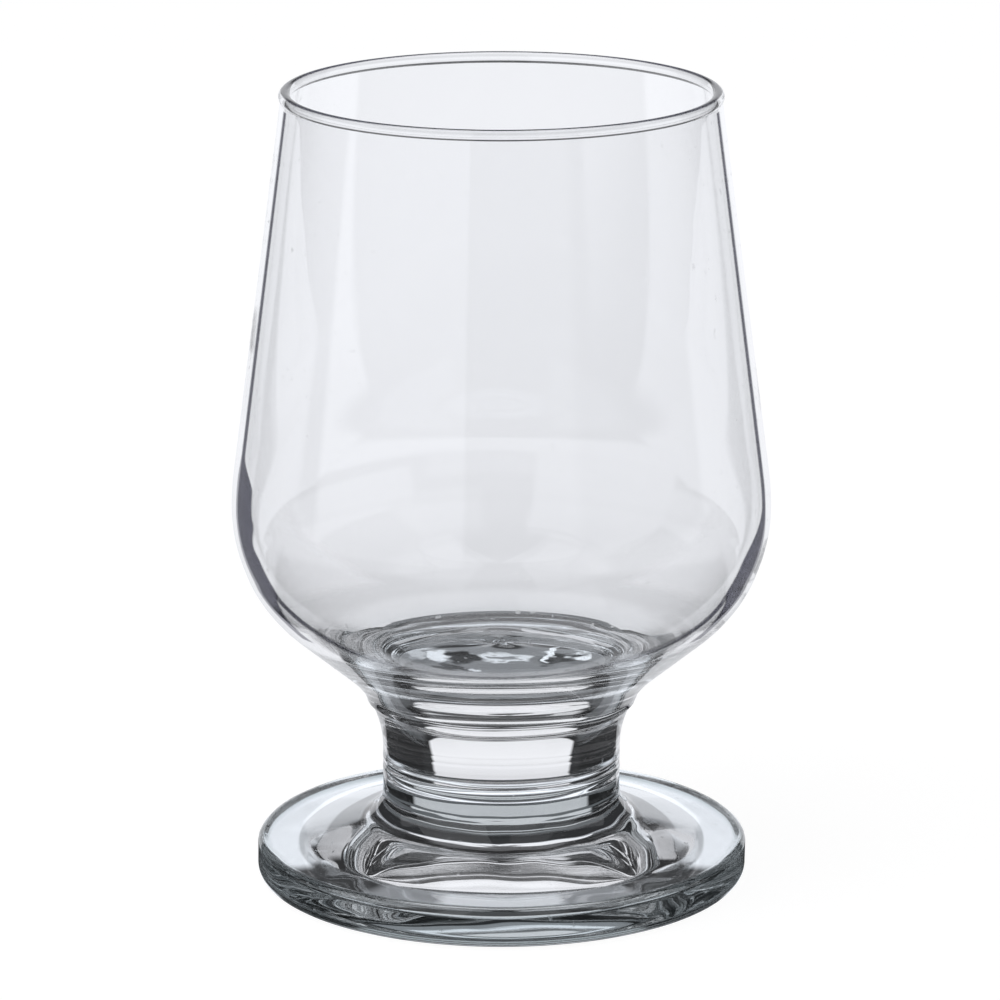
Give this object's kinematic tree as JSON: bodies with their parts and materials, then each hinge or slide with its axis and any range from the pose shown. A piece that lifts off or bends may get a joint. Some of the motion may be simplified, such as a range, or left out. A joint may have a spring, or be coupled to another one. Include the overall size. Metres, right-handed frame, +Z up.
{
  "type": "water goblet",
  "caption": "Clear glass water goblet: a tapered bowl with a rounded belly on a short waisted solid stem and a thick round foot.",
  "frame": {"origin": "middle of the flat underside of the foot, on the table", "axes": "+Z up along the axis that every piece is turned about, +X and +Y any way round"},
  "size_m": [0.0804, 0.0804, 0.1199],
  "materials": {
    "bowl_glass": "fire-polished clear soda-lime glass, thin wall",
    "stem_glass": "clear solid soda-lime glass with faint mould rings and a rippled weld",
    "foot_glass": "pressed clear soda-lime glass, slightly green in its thickness"
  },
  "bodies": {
    "root": {"bowl": "bowl_glass", "stem": "stem_glass", "foot": "foot_glass"}
  },
  "joints": []
}
